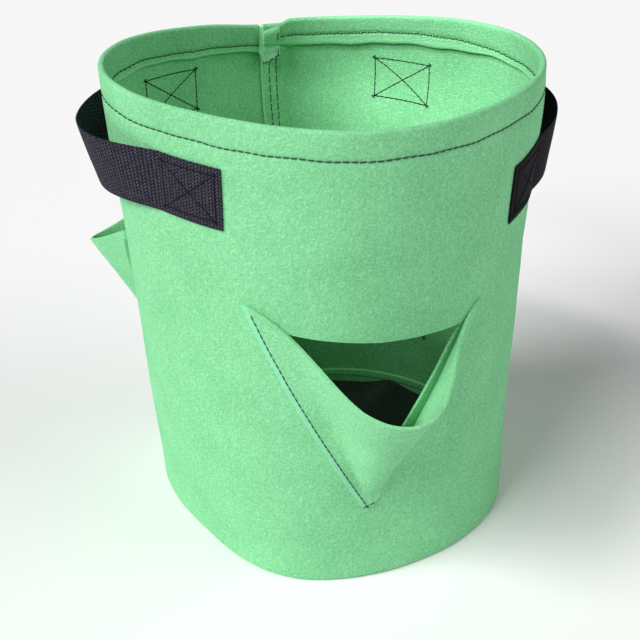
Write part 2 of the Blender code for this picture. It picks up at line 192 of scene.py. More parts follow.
def makeStitchTree():
    # sews a row of stitches along drawn lines
    tree, given, result = newTree("sewAlongLine", "GeometryNodeTree", [
        ("Geometry", "Geometry", None), ("Pitch", "Float", 0.005),
        ("Stitch Length", "Float", 0.004), ("Thread Radius", "Float", 0.0006),
        ("Arch", "Float", 0.0008), ("Sink", "Float", 0.0004), ("Slant", "Float", 0.0),
        ("Unevenness", "Float", 0.08), ("Seed", "Int", 4), ("Material", "Material", None),
    ], [("Geometry", "Geometry")])
    line = addNode(tree, "GeometryNodeMeshToCurve", None, Mesh=given["Geometry"])
    beads = addNode(tree, "GeometryNodeResampleCurve", {"mode": "LENGTH"},
                    Curve=line.outputs[0], Length=given["Pitch"])
    tangent = addNode(tree, "GeometryNodeInputTangent").outputs[0]
    aimed = addNode(tree, "FunctionNodeAlignRotationToVector", {"axis": "X", "pivot_axis": "Z"},
                    Vector=tangent)
    spread = calc(tree, "MULTIPLY", given["Unevenness"], -1.0)
    chance = addNode(tree, "FunctionNodeRandomValue", {"data_type": "FLOAT"}, n2=spread,
                     n3=given["Unevenness"], Seed=given["Seed"])
    twist = calc(tree, "ADD", chance.outputs[1], given["Slant"])
    twist = addNode(tree, "FunctionNodeEulerToRotation", None, n0=vector(tree, 0.0, 0.0, twist))
    turned = addNode(tree, "FunctionNodeRotateRotation", {"rotation_space": "LOCAL"},
                     n0=aimed.outputs[0], n1=twist.outputs[0])
    half = calc(tree, "DIVIDE", given["Stitch Length"], 2.0)
    sunk = calc(tree, "MULTIPLY", given["Sink"], -1.0)
    peak = calc(tree, "MULTIPLY_ADD", given["Arch"], 2.0, given["Sink"])
    arch = addNode(tree, "GeometryNodeCurveQuadraticBezier", None, Resolution=4,
                   Start=vector(tree, calc(tree, "MULTIPLY", half, -1.0), 0.0, sunk),
                   Middle=vector(tree, 0.0, 0.0, peak), End=vector(tree, half, 0.0, sunk))
    profile = addNode(tree, "GeometryNodeCurvePrimitiveCircle", None, Resolution=5,
                     Radius=given["Thread Radius"])
    thread = addNode(tree, "GeometryNodeCurveToMesh", None, Curve=arch.outputs[0],
                     ProfileCurve=profile.outputs[0], FillCaps=True)
    soft = addNode(tree, "GeometryNodeSetShadeSmooth", None, n0=thread.outputs[0])
    sewn = addNode(tree, "GeometryNodeInstanceOnPoints", None, Points=beads.outputs[0],
                   Instance=soft.outputs[0], Rotation=turned.outputs[0])
    real = addNode(tree, "GeometryNodeRealizeInstances", None, Geometry=sewn.outputs[0])
    painted = addNode(tree, "GeometryNodeSetMaterial", None,
                      Geometry=real.outputs[0], Material=given["Material"])
    tree.links.new(painted.outputs[0], result["Geometry"])
    return tree


def addTree(piece, tree, **values):
    modifier = piece.modifiers.new(tree.name, "NODES")
    modifier.node_group = tree
    for item in tree.interface.items_tree:
        key = item.name.replace(" ", "")
        if item.in_out == "INPUT" and key in values:
            modifier[item.identifier] = values[key]
    return modifier


def newPiece(name, points, edges, faces):
    mesh = bpy.data.meshes.new(name)
    mesh.from_pydata(points, edges, faces)
    mesh.update()
    piece = bpy.data.objects.new(name, mesh)
    bpy.context.scene.collection.objects.link(piece)
    return piece


def makePlain(piece, sharpDeg=40):
    # the modifiers' result becomes the piece's own mesh
    graph = bpy.context.evaluated_depsgraph_get()
    mesh = bpy.data.meshes.new_from_object(piece.evaluated_get(graph),
                                           preserve_all_data_layers=True, depsgraph=graph)
    piece.modifiers.clear()
    piece.data = mesh
    mesh.shade_smooth()
    mesh.set_sharp_from_angle(angle=math.radians(sharpDeg))
    return piece


def tubeFaces(loops, size):
    # quads between closed loops of points
    return [(c * size + i, c * size + (i + 1) % size,
             (c + 1) * size + (i + 1) % size, (c + 1) * size + i)
            for c in range(loops - 1) for i in range(size)]


def setValues(piece, name, values):
    piece.data.attributes.new(name, "FLOAT", "POINT").data.foreach_set("value", values)


def thicken(piece, thickness, offset):
    modifier = piece.modifiers.new("thickness", "SOLIDIFY")
    modifier.thickness, modifier.offset = thickness, offset


def faceOutwards(piece):
    bm = bmesh.new()
    bm.from_mesh(piece.data)
    bmesh.ops.recalc_face_normals(bm, faces=bm.faces)
    if bm.calc_volume(signed=True) < 0:
        bmesh.ops.reverse_faces(bm, faces=bm.faces)
    bm.to_mesh(piece.data)
    bm.free()


def makeFeltGroup():
    tree, given, result = newTree("feltFibre", "ShaderNodeTree", [
        ("Vector", "Vector", None), ("Light", "Color", (0.3, 0.7, 0.4, 1)),
        ("Dark", "Color", (0.2, 0.5, 0.3, 1)), ("Edge", "Color", (0.3, 0.75, 0.5, 1)),
        ("Edge Mask", "Float", 0.0), ("Fibre Scale", "Float", 700.0),
        ("Clump Scale", "Float", 430.0), ("Patch Scale", "Float", 22.0),
    ], [("Color", "Color"), ("Height", "Float"), ("Roughness", "Float")])
    fibres = 0.0
    for turnX, turnY in ((0.3, 0.2), (1.1, 0.5), (-0.7, 0.9), (0.4, -1.0)):
        aimed = addNode(tree, "ShaderNodeMapping", {"vector_type": "TEXTURE"},
                        Vector=given["Vector"], Rotation=(turnX, turnY, 0.6), Scale=(1.0, 1.0, 5.0))
        strands = noise(tree, aimed.outputs[0], given["Fibre Scale"], 1.0)
        picked = addNode(tree, "ShaderNodeMapRange", None, n0=strands, n1=0.54, n2=0.74)
        fibres = calc(tree, "MAXIMUM", picked.outputs[0], fibres)
    clumps = noise(tree, given["Vector"], given["Clump Scale"], 3.0, 0.7)
    patches = noise(tree, given["Vector"], given["Patch Scale"], 3.0)
    tone = calc(tree, "MULTIPLY_ADD", fibres, 0.62, -0.74)
    tone = calc(tree, "MULTIPLY_ADD", clumps, 1.5, tone)
    tone = calc(tree, "MULTIPLY_ADD", patches, 0.55, tone)
    color = mixColors(tree, tone, given["Dark"], given["Light"])
    color = mixColors(tree, given["Edge Mask"], color, given["Edge"])
    height = calc(tree, "MULTIPLY_ADD", clumps, 0.8, fibres)
    rough = addNode(tree, "ShaderNodeMapRange", None, n0=clumps,
                    n1=0.2, n2=0.8, n3=0.97, n4=0.86)
    tree.links.new(color, result["Color"])
    tree.links.new(height, result["Height"])
    tree.links.new(rough.outputs[0], result["Roughness"])
    return tree


def makeWeaveGroup():
    tree, given, result = newTree("webbingWeave", "ShaderNodeTree", [
        ("Vector", "Vector", None), ("Yarn", "Color", (0.05, 0.05, 0.06, 1)),
        ("Gap", "Color", (0.01, 0.01, 0.01, 1)), ("Pick", "Float", 0.0024),
        ("End", "Float", 0.0016), ("Chevron", "Float", 1.1), ("Dust", "Float", 1.0),
    ], [("Color", "Color"), ("Height", "Float")])
    flat = addNode(tree, "ShaderNodeSeparateXYZ", None, n0=given["Vector"]).outputs
    along = calc(tree, "DIVIDE", flat[0], given["Pick"])
    slant = calc(tree, "MULTIPLY", calc(tree, "PINGPONG", along, 1.0), given["Chevron"])
    across = calc(tree, "ADD", calc(tree, "DIVIDE", flat[1], given["End"]), slant)
    bulges = []
    for place in (across, along):
        wave = calc(tree, "SINE", calc(tree, "MULTIPLY", place, math.pi))
        bulges.append(calc(tree, "ABSOLUTE", wave))
    # painted highlight and shade: the tops of the yarn beads get a painted glint in the Yarn
    # colour, the gaps between them painted shade in the Gap colour
    bead = calc(tree, "MULTIPLY", bulges[0], calc(tree, "POWER", bulges[1], 0.6))
    # random patches where the painted glint is stronger or weaker
    glintPatches = noise(tree, given["Vector"], 210.0, 3.0)
    glint = calc(tree, "MULTIPLY", calc(tree, "POWER", bead, 1.6),
                 calc(tree, "MULTIPLY_ADD", glintPatches, 1.5, -0.05))
    # painted light: the strap's share of the painted glint; a low share paints the strap in shade
    glint = calc(tree, "MULTIPLY", glint, given["Dust"])
    color = mixColors(tree, glint, given["Gap"], given["Yarn"])
    tree.links.new(color, result["Color"])
    tree.links.new(bead, result["Height"])
    return tree


def makeTwistGroup():
    tree, given, result = newTree("threadTwist", "ShaderNodeTree", [
        ("Vector", "Vector", None), ("Ply", "Color", (0.02, 0.06, 0.03, 1)),
        ("Shade", "Color", (0.01, 0.02, 0.01, 1)), ("Twist Scale", "Float", 900.0),
    ], [("Color", "Color"), ("Height", "Float")])
    bands = addNode(tree, "ShaderNodeTexWave", {"bands_direction": "DIAGONAL"},
                    Vector=given["Vector"], Scale=given["Twist Scale"], Distortion=1.5)
    color = mixColors(tree, bands.outputs["Fac"], given["Shade"], given["Ply"])
    tree.links.new(color, result["Color"])
    tree.links.new(bands.outputs["Fac"], result["Height"])
    return tree


def makeMaterial(name, group, coordinates, bump, constants, **values):
    material = bpy.data.materials.new(name)
    material.use_nodes = True
    tree = material.node_tree
    shader = tree.nodes["Principled BSDF"]
    if coordinates == "Object":
        source = addNode(tree, "ShaderNodeTexCoord").outputs["Object"]
    else:
        source = addNode(tree, "ShaderNodeUVMap", {"uv_map": coordinates}).outputs[0]
    effect = tree.nodes.new("ShaderNodeGroup")
    effect.node_tree = group
    tree.links.new(source, effect.inputs["Vector"])
    for key, value in values.items():
        socket = next(s for s in effect.inputs if s.name.replace(" ", "") == key)
        if isinstance(value, str):  # an attribute of the mesh
            mask = addNode(tree, "ShaderNodeAttribute", {"attribute_name": value})
            tree.links.new(mask.outputs["Fac"], socket)
        else:
            socket.default_value = value
    height = addNode(tree, "ShaderNodeBump", None, Strength=bump[0], Distance=bump[1],
                     Height=effect.outputs["Height"])
    tree.links.new(effect.outputs["Color"], shader.inputs["Base Color"])
    tree.links.new(height.outputs[0], shader.inputs["Normal"])
    if "Roughness" in effect.outputs:
        tree.links.new(effect.outputs["Roughness"], shader.inputs["Roughness"])
    for key, value in constants.items():
        shader.inputs[key].default_value = value
    return material


feltGroup, weaveGroup, twistGroup = makeFeltGroup(), makeWeaveGroup(), makeTwistGroup()
feltFinish = {"Sheen Weight": 0.12, "Sheen Roughness": 0.6, "Sheen Tint": (0.6, 1.0, 0.7, 1),
               "Specular IOR Level": 0.1}
wallFelt = makeMaterial("wallFelt", feltGroup, "Object", (0.5, 0.0006), feltFinish,
                        Light=(0.306, 0.775, 0.400, 1), Dark=(0.158, 0.515, 0.231, 1),
                        Edge=(0.350, 0.850, 0.450, 1), EdgeMask="rawEdge")
flapFelt = makeMaterial("flapFelt", feltGroup, "Object", (0.5, 0.0006), feltFinish,
                        Light=(0.318, 0.785, 0.412, 1), Dark=(0.168, 0.527, 0.241, 1),
                        Edge=(0.262, 0.740, 0.430, 1), EdgeMask="rawEdge")
baseFelt = makeMaterial("baseFelt", feltGroup, "Object", (0.5, 0.0006), feltFinish,
                        Light=(0.050, 0.052, 0.055, 1), Dark=(0.018, 0.019, 0.020, 1))
# Yarn is the painted glint colour on the yarn tops, Gap the painted shade between them
webbing = makeMaterial("blackWebbing", weaveGroup, "strapCloth", (0.6, 0.0006),
                       {"Roughness": 0.70, "Specular IOR Level": 0.05},
                       Yarn=(0.112, 0.104, 0.150, 1), Gap=(0.008, 0.008, 0.011, 1),
                       Pick=0.0033, End=0.0030, Dust="dust")
greenThread = makeMaterial("greenThread", twistGroup, "Object", (0.4, 0.0002), {"Roughness": 0.6},
                           Ply=(0.020, 0.078, 0.038, 1), Shade=(0.008, 0.034, 0.018, 1))
blackThread = makeMaterial("blackThread", twistGroup, "Object", (0.4, 0.0002),
                           {"Roughness": 0.8, "Specular IOR Level": 0.05},
                           Ply=(0.018, 0.018, 0.022, 1), Shade=(0.007, 0.007, 0.009, 1))
wrapTree, stitchTree = makeWrapTree(), makeStitchTree()
print("materials and node trees made")

# wall: one strip of felt, hemmed at the rim, folded in at the foot, lapped at the back

wall = {
    "felt": 0.003,
    "layerGap": 0.0002,
    "hemDepth": 0.0300,
    "hemRowDrop": 0.0240,
    "footFold": 0.0240,
    "lapNear": 0.014,      # the inner end runs this far past the back line
    "lapFar": 0.0045,      # the outer end runs this far past it the other way
    "lapStep": 0.0045,     # the outer end's rim sits this much lower
    "lipDrop": 0.0095,     # the hem hangs this much lower where it wraps the lap
    "lipFlare": 0.0022,    # its lower edge stands off this much
    "notch": 0.0050,       # and its rim dips this much beside the hidden end
    "backRowLift": 0.0055,
    "backRowRise": (0.29, 0.40),  # the hem row climbs between these places
    "rowPinch": 0.0007,
    "pinchReach": 0.0035,
    "columnStep": 0.0046,
    "fineStep": 0.0017,
    "fineReach": 0.045,
    "endInset": 0.0009,
    "capRound": (0.0006, 0.0009),
    "rawStrip": 0.6,
    "rawWindow": 0.7,
    "area": 0.535,         # what is left after the windows are cut
    "rowSteps": 46,
    "edgeWaver": 0.0009,
}
layer = wall["felt"] + wall["layerGap"]
lapStart, lapEnd = -seamArc - wall["lapFar"], seamArc + wall["lapNear"]
hemRow = bagHeight - wall["hemRowDrop"]


def waver(arc):
    return wall["edgeWaver"] * (math.sin(arc * 61 + 1) + 0.6 * math.sin(arc * 143))


def underLap(arc):
    # 1 where the strip's last end has stepped inside its first end
    edge = seamArc - wall["lapFar"]
    return smooth(edge - 0.013, edge - 0.001, arc)


def overLap(arc):
    # 1 where the first end's hem goes round the last end
    edge = -seamArc + wall["lapNear"]
    return 1 - smooth(edge - 0.001, edge + 0.0025, arc)


def lapShare(arc):
    # across the lap, from 0 at the hidden end's edge to 1 at the outer end's edge
    share = (-seamArc + wall["lapNear"] - arc) / (wall["lapNear"] + wall["lapFar"])
    return min(1.0, max(0.0, share))


def rimDrop(arc):
    notch = wall["notch"] * overLap(arc) * (1 - lapShare(arc)) ** 1.5
    return wall["lapStep"] * (1 - smooth(lapStart + 0.01, lapStart + 0.085, arc)) + notch


def rowHeight(arc):
    lift = wall["backRowLift"] * smooth(*wall["backRowRise"], arc)
    return hemRow - 0.6 * wall["lapStep"] * (1 - smooth(lapStart, lapStart + 0.08, arc)) + lift \
        + waver(arc + 0.4) * 0.5


def hemFold(arc):
    return layer / 2 * (1 + 2 * overLap(arc))


def insideOut(arc):
    return -wall["felt"] - 2 * hemFold(arc) - layer * underLap(arc)


def rawHeight(arc):
    # the hem's raw edge, inside the bag
    lip = overLap(arc) * wall["lipDrop"] * (1 - lapShare(arc) ** 1.3)
    step = wall["lapStep"] * (1 - smooth(lapStart, lapStart + 0.08, arc))
    return bagHeight - wall["hemDepth"] - lip - step + waver(arc) + 0.003 * underLap(arc)


def lipFlare(arc):
    return wall["lipFlare"] * overLap(arc)


def wallLine(arc):
    # the strip's middle line at one place round the wall: height, out, and the way it faces
    felt, shift, fold = wall["felt"], layer * underLap(arc), hemFold(arc)
    middle = -felt / 2 - shift
    top = bagHeight - felt / 2 - fold - shift - rimDrop(arc)
    foot = felt / 2 + fold + shift
    hemEnd, row = rawHeight(arc), rowHeight(arc)
    line = []
    for step in range(5):
        line.append((blendOf(wall["footFold"], foot, step / 4), middle - 2 * fold, 0, -1, 0))
    for step in range(1, 6):
        turn = math.pi * (1 - step / 6)
        line.append((foot - fold * math.sin(turn), middle - fold + fold * math.cos(turn),
                     -math.sin(turn), math.cos(turn), 0))
    near, steps = wall["pinchReach"], wall["rowSteps"]
    for step in range(steps + 1):
        line.append((blendOf(foot, row - near, step / steps), middle, 0, 1, 0))
    for step in range(1, 8):
        offset = near * (step / 4 - 1)
        line.append((row + offset, middle, 0, 1, (1 - (offset / near) ** 2) ** 2))
    for step in range(5):
        line.append((blendOf(row + near, top, step / 4), middle, 0, 1, 0))
    for step in range(1, 8):
        turn = math.pi * step / 8
        line.append((top + fold * math.sin(turn), middle - fold + fold * math.cos(turn),
                     math.sin(turn), math.cos(turn), 0))
    for step in range(5):
        line.append((blendOf(top, row + near, step / 4), middle - 2 * fold, 0, -1, 0))
    for step in range(1, 8):
        offset = near * (1 - step / 4)
        line.append((row + offset, middle - 2 * fold, 0, -1, (1 - (offset / near) ** 2) ** 2))
    for step in range(4):
        out = middle - 2 * fold - lipFlare(arc) * (step / 3) ** 2
        line.append((blendOf(row - near, hemEnd, step / 3), out, 0, -1, 0))
    return line


def wallLoop(arc, fullness):
    # the closed outline of the strip's section, shown face first, then the hidden face
    half = wall["felt"] / 2 * fullness
    line = wallLine(arc)
    shown = [(h + u * (half - wall["rowPinch"] * p), o + v * (half - wall["rowPinch"] * p))
             for h, o, u, v, p in line]
    hidden = [(h - u * half, o - v * half) for h, o, u, v, p in line]
    loop = list(shown)
    for (h, o, u, v, p), way in ((line[-1], -1), (line[0], 1)):
        side, middle = (way * amount for amount in wall["capRound"])
        cap = [(h + side, o + v * half * 0.7), (h + middle, o), (h + side, o - v * half * 0.7)]
        if way < 0:
            loop += cap + hidden[::-1]
        else:
            loop += cap[::-1]
    return [Vector((arc, h, o)) for h, o in loop]


def wallColumns():
    arcs, at = [], lapStart + wall["endInset"]
    while at < lapEnd - wall["endInset"]:
        arcs.append((at, 1.0))
        fine = min(at - lapStart, lapEnd - at) < wall["fineReach"]
        at += wall["fineStep"] if fine else wall["columnStep"]
    rounding = ((0.0, 0.45), (0.0003, 0.8))
    first = [(lapStart + inset, share) for inset, share in rounding]
    last = [(lapEnd - inset, share) for inset, share in reversed(rounding)]
    return first + arcs + last


def windowCutter(corners, reach=0.02):
    count = len(corners)
    points = [(x, y, -reach) for x, y in corners] + [(x, y, reach) for x, y in corners]
    faces = [tuple(range(count))[::-1], tuple(range(count, 2 * count))]
    faces += [(i, (i + 1) % count, (i + 1) % count + count, i + count) for i in range(count)]
    cutter = newPiece("windowCutter", points, [], faces)
    setValues(cutter, "rawEdge", [wall["rawWindow"]] * len(points))
    faceOutwards(cutter)
    return cutter


def makeWall(windows):
    columns = wallColumns()
    loops = [wallLoop(arc, fullness) for arc, fullness in columns]
    count = len(loops[0])
    points = [p for loop in loops for p in loop]
    faces = tubeFaces(len(loops), count)
    rows = len(wallLine(0.0))
    for base in (0, (len(loops) - 1) * count):
        pairs = [(i, 2 * rows + 2 - i) for i in range(rows)]
        for (a, b), (c, d) in zip(pairs, pairs[1:]):
            faces.append((base + a, base + c, base + d, base + b))
        faces.append(tuple(base + i for i in range(rows - 1, rows + 4)))
        faces.append((base,) + tuple(base + i for i in range(count - 1, 2 * rows + 1, -1)))
    piece = newPiece("wall_felt", points, [], faces)
    raw = []
    for arc, fullness in columns:
        for i in range(count):
            cut = rows <= i < rows + 3 or i >= 2 * rows + 3
            strip = wall["rawStrip"] if rows - 4 < i < rows else 0.0
            raw.append((1 - overLap(arc)) * (1.0 if cut or fullness < 1 else strip))
    setValues(piece, "rawEdge", raw)
    faceOutwards(piece)
    for corners in windows:
        cutter = windowCutter(corners)
        modifier = piece.modifiers.new("window", "BOOLEAN")
        modifier.operation = "DIFFERENCE"
        modifier.solver = "EXACT"
        modifier.object = cutter
        makePlain(piece)
        bpy.data.objects.remove(cutter, do_unlink=True)
    addTree(piece, wrapTree, Material=wallFelt)
    return makePlain(piece)


# pockets: a felt triangle sewn down two sides, its open top bowed out over a window

pocket = {
    "tipHalfWidth": 0.005,
    "margins": {"left": 0.0070, "right": 0.0015},  # the right side's edge is turned under
    "toe": 0.014,
    "rowInset": 0.0045,
    "liftOff": 0.0002,
    "creaseHeight": 0.0050,
    "creaseWidth": 0.20,
    "columns": 64,
    "rows": 44,
    "windowInsets": {"left": 0.021, "right": 0.012},
    "windowDrops": {"left": 0.0200, "right": 0.0165},
    "flat": (0.228, 0.200),
    "area": 0.0235,
}
# corners on the wall, then how far the mouth stands out and sinks, and where it peaks; a bow
# over 1 keeps its half of the mouth nearer the wall, and a sag over 1 keeps it higher
pockets = {
    "front": {"left": (-0.1304, 0.2910), "right": (0.0977, 0.2746), "tip": (-0.0172, 0.0890),
              "standOff": 0.0643, "droop": 0.0613, "peak": 0.114, "softness": 1.017,
              "leftSag": 0.66, "rightSag": 0.42, "leftBow": 1.73, "crease": -0.13},
    "left": {"left": (-0.5167, 0.2830), "right": (-0.3076, 0.2830), "tip": (-0.4122, 0.085),
             "standOff": 0.0655, "droop": 0.0470, "peak": 0.214, "softness": 0.274,
             "leftSag": 1.7, "rightSag": 0.85, "leftBow": 1.0, "crease": 0.214},
    "right": {"left": (0.2649, 0.2830), "right": (0.4925, 0.2830), "tip": (0.3787, 0.085),
              "standOff": 0.0610, "droop": 0.0520, "peak": -0.10, "softness": 0.500,
              "leftSag": 1.0, "rightSag": 1.2, "leftBow": 1.0, "crease": -0.10},
}


def mouthShape(shape, across):
    # how far the mouth stands out and sags at a share of its width
    peak = shape["peak"]
    share = (across + 1) / (1 + peak) if across < peak else (1 - across) / (1 - peak)
    soft = shape["softness"]
    lean = (math.hypot(1 - share, soft) - soft) / (math.hypot(1, soft) - soft)
    bow = max(0.0, 1 - lean)
    if across > peak:
        return bow ** 3, bow ** (3 * shape["rightSag"])
    return bow ** (3 * shape["leftBow"]), bow ** (3 * shape["leftSag"])


def flapEdge(shape, side, up):
    cornerX, cornerY = shape[side]
    tipX, tipY = shape["tip"]
    tipX += pocket["tipHalfWidth"] * (1 if side == "right" else -1)
    return blendOf(tipX, cornerX, up), blendOf(tipY, cornerY, up)


def flapPoint(shape, across, up):
    (leftX, leftY), (rightX, rightY) = flapEdge(shape, "left", up), flapEdge(shape, "right", up)
    slope = (shape["right"][0] - shape["left"][0]) / 2 / (shape["left"][1] - shape["tip"][1])
    half = (rightX - leftX) / 2
    x = blendOf(leftX, rightX, (across + 1) / 2)
    height = blendOf(leftY, rightY, (across + 1) / 2)
    margins = [min(pocket["margins"][side] * math.hypot(1, slope) / half, 0.4)
               for side in ("left", "right")]
    free = 2 * (across + 1 - margins[0]) / (2 - sum(margins)) - 1
    toe = pocket["toe"] / (shape["left"][1] - shape["tip"][1])
    rise = max(0.0, (up - toe) / (1 - toe))
    sag = mouthShape(shape, across)[1]
    bow = mouthShape(shape, free)[0] if abs(free) < 1 else 0.0
    ridge = max(0.0, 1 - abs(across - shape["crease"]) / pocket["creaseWidth"])
    stand = rise * (shape["standOff"] * bow + pocket["creaseHeight"] * ridge)
    return x, height - shape["droop"] * sag * rise, pocket["liftOff"] + stand


def makeFlap(name, shape):
    columns, rows = pocket["columns"], pocket["rows"]
    points = []
    for r in range(rows + 1):
        for c in range(columns + 1):
            across = -1 + 2 * c / columns
            points.append(flapPoint(shape, across, r / rows))
    faces = [(r * (columns + 1) + c, r * (columns + 1) + c + 1,
              (r + 1) * (columns + 1) + c + 1, (r + 1) * (columns + 1) + c)
             for r in range(rows) for c in range(columns)]
    piece = newPiece(name, points, [], faces)
    raw = []
    for r in range(rows + 1):
        (leftX, leftY), (rightX, rightY) = (flapEdge(shape, s, r / rows) for s in ("left", "right"))
        inset = pocket["rowInset"] * 1.15 / max(0.001, (rightX - leftX) / 2)
        for c in range(columns + 1):
            raw.append(1 - smooth(inset * 0.8, inset * 1.3, 2 * c / columns))
    setValues(piece, "rawEdge", raw)
    addTree(piece, wrapTree, Material=flapFelt)
    makePlain(piece)
    thicken(piece, wall["felt"], 1.0)
    bevel = piece.modifiers.new("softEdge", "BEVEL")
    bevel.width = 0.0006
    bevel.segments = 2
    bevel.limit_method = "ANGLE"
    bevel.angle_limit = math.radians(50)
    return makePlain(piece)


def windowCorners(shape):
    tipX, tipY = shape["tip"]
    corners, feet = {}, []
    for side, way in (("left", 1), ("right", -1)):
        cornerX, cornerY = shape[side]
        slope = abs(cornerX - tipX) / (cornerY - tipY)
        sideways = pocket["windowInsets"][side] * math.hypot(1, slope)
        share = 1 - pocket["windowDrops"][side] / (cornerY - tipY)
        corners[side] = (blendOf(tipX, cornerX, share) + way * sideways,
                         blendOf(tipY, cornerY, share))
        feet.append(sideways / slope)
    (leftX, leftY), (rightX, rightY) = corners["left"], corners["right"]
    sag = ((leftX + rightX) / 2, (leftY + rightY) / 2 - 0.0015)
    return [(leftX, leftY), sag, (rightX, rightY), (tipX + 0.004, tipY + sum(feet) / 2)]


# straps: black webbing lying on the wall at both ends, standing off it between

strap = {
    "width": 0.054,
    "thickness": 0.0018,
    "boxLength": 0.052,
    "boxHeight": 0.041,
    "boxMargin": 0.006,
    "columnStep": 0.0030,
    "acrossSteps": 16,
    "liftOff": 0.0003,
    "blendShare": 0.8,           # the share of a span's x extent at which a blend point is placed
    "blendLevel": (0.02, 0.40),  # y and z of both blend points, which differ in x alone
}
# dust is painted light: the left strap keeps its painted glint, the right strap gets little of it
# and is painted in shade
straps = {
    "left": {"side": -1, "frontDeg": 48.0, "rearDeg": 150.8, "frontTop": 0.408, "rearTop": 0.413,
             "rearBox": 0.064, "loopTop": 0.0240, "loopBottom": 0.0130,
             "loopSag": (0.0085, 0.0095), "dust": 1.0, "length": 0.344},
    "right": {"side": 1, "frontDeg": 45.0, "rearDeg": 148.0, "frontTop": 0.385, "rearTop": 0.409,
              "rearBox": 0.0575, "loopTop": 0.0270, "loopBottom": 0.0250,
              "loopSag": (-0.0010, 0.0050), "dust": 0.08, "length": 0.355},
}


def strapEnds(shape):
    return math.radians(shape["frontDeg"]) * bagRadius, math.radians(shape["rearDeg"]) * bagRadius


def strapTop(shape, arc):
    front, rear = strapEnds(shape)
    return blendOf(shape["frontTop"], shape["rearTop"], (arc - front) / (rear - front))


def strapSwell(shape, arc):
    front, rear = strapEnds(shape)
    sewn = strap["boxLength"] + 2 * strap["boxMargin"]
    middle, half = (front + rear) / 2, (rear - front) / 2 - sewn
    return math.cos(min(1.0, abs(arc - middle) / half) * math.pi / 2)


def strapOut(shape, arc, drop):
    loop = blendOf(shape["loopTop"], shape["loopBottom"], drop)
    return strap["liftOff"] + strapSwell(shape, arc) * loop


def strapPoint(shape, arc, drop, through):
    sag = blendOf(*shape["loopSag"], drop) * strapSwell(shape, arc) ** 2
    height = strapTop(shape, arc) - drop * strap["width"] - sag
    return Vector((shape["side"] * arc, height, strapOut(shape, arc, drop) + through))


def makeStrap(name, shape):
    front, rear = strapEnds(shape)
    count = round((rear - front) / strap["columnStep"])
    across = strap["acrossSteps"]
    section = []
    for step in range(across + 1):
        drop = step / across
        full = min(1.0, 0.55 + 6 * min(drop, 1 - drop))
        section.append((drop, strap["thickness"] / 2 * full))
    loop = section + [(drop, -half) for drop, half in section[::-1]]
    points, places = [], []
    for column in range(count + 1):
        arc = blendOf(front, rear, column / count)
        for drop, half in loop:
            points.append(strapPoint(shape, arc, drop, strap["thickness"] / 2 + half))
            places.append((arc, drop * strap["width"]))
    size = len(loop)
    faces = tubeFaces(count + 1, size)
    for base in (0, count * size):
        for i in range(across):
            faces.append((base + i, base + i + 1, base + size - 2 - i, base + size - 1 - i))
    piece = newPiece(name, points, [], faces)
    cloth = piece.data.uv_layers.new(name="strapCloth")
    for corner in piece.data.loops:
        cloth.data[corner.index].uv = places[corner.vertex_index]
    setValues(piece, "dust", [shape["dust"]] * len(points))
    faceOutwards(piece)
    addTree(piece, wrapTree, Material=webbing)
    return makePlain(piece)


# stitches: rows drawn as lines on the flat pieces, then sewn and rolled up with them

stitchInputs = ("Pitch", "StitchLength", "ThreadRadius", "Arch", "Sink", "Slant", "Unevenness")
stitchKinds = {  # in the order of stitchInputs
    "hem": (0.0066, 0.0055, 0.00068, 0.0003, 0.0004, 0.05, 0.07),
    "hemInside": (0.007, 0.0056, 0.0007, 0.0005, 0.0004, -0.1, 0.1),
    "seam": (0.0098, 0.0072, 0.00055, 0.0002, 0.0004, 0.06, 0.06),
    "flap": (0.0058, 0.005, 0.0006, 0.0003, 0.0004, 0.0, 0.06),
    "box": (0.005, 0.0052, 0.00055, 0.0002, 0.0003, 0.0, 0.05),
    "base": (0.0075, 0.0055, 0.0006, 0.0004, 0.0004, 0.0, 0.06),
}
seamRow = {
    "shifts": {"left": 0.00555, "right": -0.00195},  # from the back line
    "foot": 0.010,
    "rimDrop": 0.016,
    "lipDrop": 0.034,
    "insideDrop": 0.046,
}


def makeStitches(name, lines, kind, thread, seed):
    points, edges = [], []
    for line in lines:
        first = len(points)
        points += line
        edges += [(first + i, first + i + 1) for i in range(len(line) - 1)]
    piece = newPiece(name, points, edges, [])
    values = dict(zip(stitchInputs, stitchKinds[kind]))
    addTree(piece, stitchTree, Material=thread, Seed=seed, **values)
    addTree(piece, wrapTree, Material=thread)
    return makePlain(piece, 60)


def drawn(place, start, end, step=0.004):
    count = max(2, round(abs(end - start) / step))
    return [place(blendOf(start, end, i / count)) for i in range(count + 1)]


def straight(start, end, step=0.004):
    start, end = Vector(start), Vector(end)
    count = max(2, round((end - start).length / step))
    return [start.lerp(end, i / count) for i in range(count + 1)]


def hemOutside(arc):
    return Vector((arc, rowHeight(arc), -layer * underLap(arc) - wall["rowPinch"] * 0.8))


def hemInside(arc):
    return Vector((arc, rowHeight(arc), insideOut(arc) + wall["rowPinch"] * 0.8))


def underLip(arc):
    return Vector((arc, rawHeight(arc) + 0.0008, insideOut(arc) - lipFlare(arc) - 0.0002))


def seamLines(shift):
    arc = seamArc + shift
    inside = -wall["felt"] - layer
    rim = bagHeight - seamRow["rimDrop"]
    lines = [straight((arc, wall["footFold"] + 0.002, inside),
                      (arc, bagHeight - seamRow["insideDrop"], inside))]
    back = arc - 2 * seamArc
    if shift < 0:
        out = insideOut(back) - 0.0002
        lip = (back, bagHeight - seamRow["lipDrop"], out - lipFlare(back) * 0.6)
        lines.append(straight(lip, (back, rim, out)))
    lines.append(straight((back, seamRow["foot"], 0.0), (back, rim, 0.0)))
    return lines


